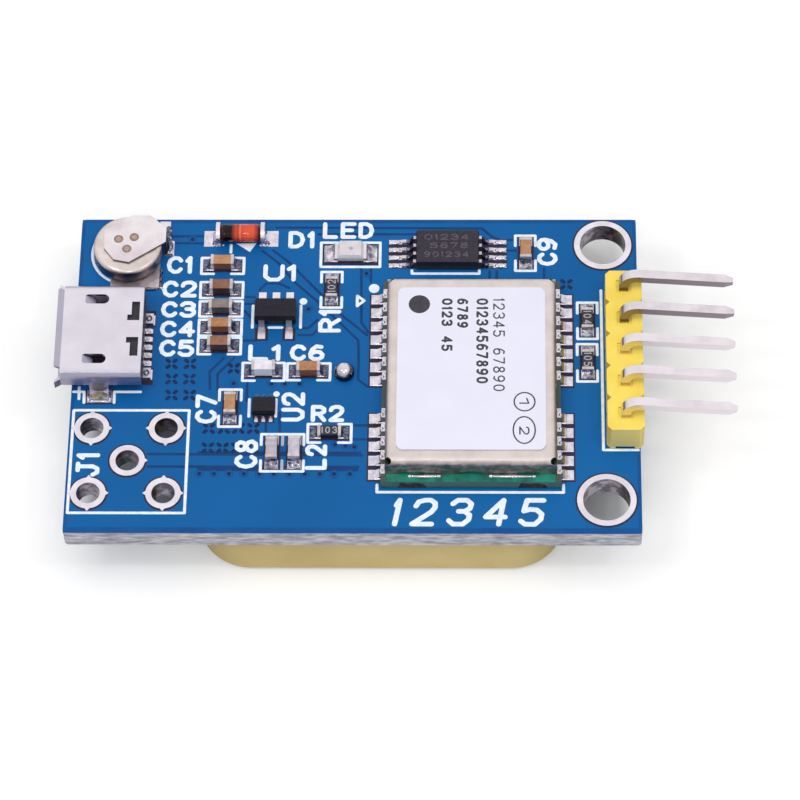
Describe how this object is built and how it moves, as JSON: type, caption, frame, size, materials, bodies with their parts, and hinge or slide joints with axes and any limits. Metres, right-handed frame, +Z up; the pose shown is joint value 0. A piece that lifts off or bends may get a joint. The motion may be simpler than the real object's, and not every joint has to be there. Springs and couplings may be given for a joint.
{
  "type": "gps module",
  "caption": "Satellite positioning receiver board with a shielded receiver, USB socket, backup cell and bent pin header above and a ceramic patch antenna below.",
  "frame": {"origin": "centre of the circuit board in plan, on the flat radiating face of the patch antenna that the module rests on", "axes": "+X from the USB socket to the pin header, +Y from the front edge to the back edge, +Z up from the antenna to the parts on the board"},
  "size_m": [0.0463, 0.0256, 0.0105],
  "materials": {
    "blue_solder_mask": "blue solder mask on glass-epoxy laminate",
    "tinned_copper": "tinned copper plating",
    "solder": "reflowed tin solder",
    "fired_silver": "fired silver film, matte",
    "antenna_ceramic": "unglazed sintered ceramic",
    "adhesive_tape": "double-sided acrylic tape",
    "tinned_pin": "tin-plated brass wire",
    "green_laminate": "green solder mask on glass-epoxy laminate",
    "shield_sheet": "folded nickel-silver sheet, satin",
    "label_paper": "coated paper label",
    "moulded_epoxy": "transfer-moulded black epoxy",
    "gold_lid": "gold-plated metal lid on a ceramic base",
    "filter_ceramic": "grey ceramic package",
    "brown_ceramic": "sintered brown ceramic",
    "pale_ceramic": "sintered pale ceramic",
    "resistor_coat": "black glaze over a resistive film",
    "tinned_ends": "tin-plated terminations",
    "tinned_steel": "folded tin-plated steel sheet",
    "black_nylon": "moulded black plastic",
    "gold_contact": "gold-plated copper alloy",
    "cell_can": "drawn stainless-steel can",
    "nickel_tab": "stamped nickel-plated sheet",
    "diode_glass": "orange-red sealing glass",
    "header_plastic": "moulded yellow plastic",
    "led_laminate": "white laminate base",
    "led_epoxy": "cast milky epoxy lens"
  },
  "bodies": {
    "root": {"board": "blue_solder_mask", "mounting_rings": "tinned_copper", "plated_rings": "tinned_copper", "component_pads": "tinned_copper", "solder_fillets": "solder", "feed_solder": "solder", "header_solder": "solder", "antenna_patch": "fired_silver", "antenna_ground": "fired_silver", "antenna_ceramic": "antenna_ceramic", "antenna_tape": "adhesive_tape", "antenna_pin": "tinned_pin", "header_pin_1": "tinned_pin", "header_pin_2": "tinned_pin", "header_pin_3": "tinned_pin", "header_pin_4": "tinned_pin", "header_pin_5": "tinned_pin", "receiver_board": "green_laminate", "receiver_shield": "shield_sheet", "receiver_label": "label_paper", "receiver_chip": "moulded_epoxy", "regulator_body": "moulded_epoxy", "memory_body": "moulded_epoxy", "amplifier_body": "moulded_epoxy", "receiver_oscillator": "gold_lid", "receiver_filter": "filter_ceramic", "receiver_passives": "brown_ceramic", "capacitor_1": "brown_ceramic", "capacitor_2": "brown_ceramic", "capacitor_3": "brown_ceramic", "capacitor_4": "brown_ceramic", "capacitor_5": "brown_ceramic", "capacitor_6": "brown_ceramic", "capacitor_7": "brown_ceramic", "capacitor_8": "brown_ceramic", "capacitor_9": "brown_ceramic", "inductor_1": "pale_ceramic", "inductor_2": "pale_ceramic", "resistor_1": "resistor_coat", "resistor_2": "resistor_coat", "resistor_3": "resistor_coat", "resistor_4": "resistor_coat", "chip_ends": "tinned_ends", "led_terminals": "tinned_ends", "regulator_leads": "tinned_ends", "memory_leads": "tinned_ends", "amplifier_leads": "tinned_ends", "diode_caps": "tinned_ends", "usb_shell": "tinned_steel", "usb_insulator": "black_nylon", "usb_contact_row": "gold_contact", "battery_cell": "cell_can", "battery_top_tab": "nickel_tab", "battery_bottom_tab": "nickel_tab", "diode_glass": "diode_glass", "header_housing": "header_plastic", "led_base": "led_laminate", "led_lens": "led_epoxy"}
  },
  "joints": []
}
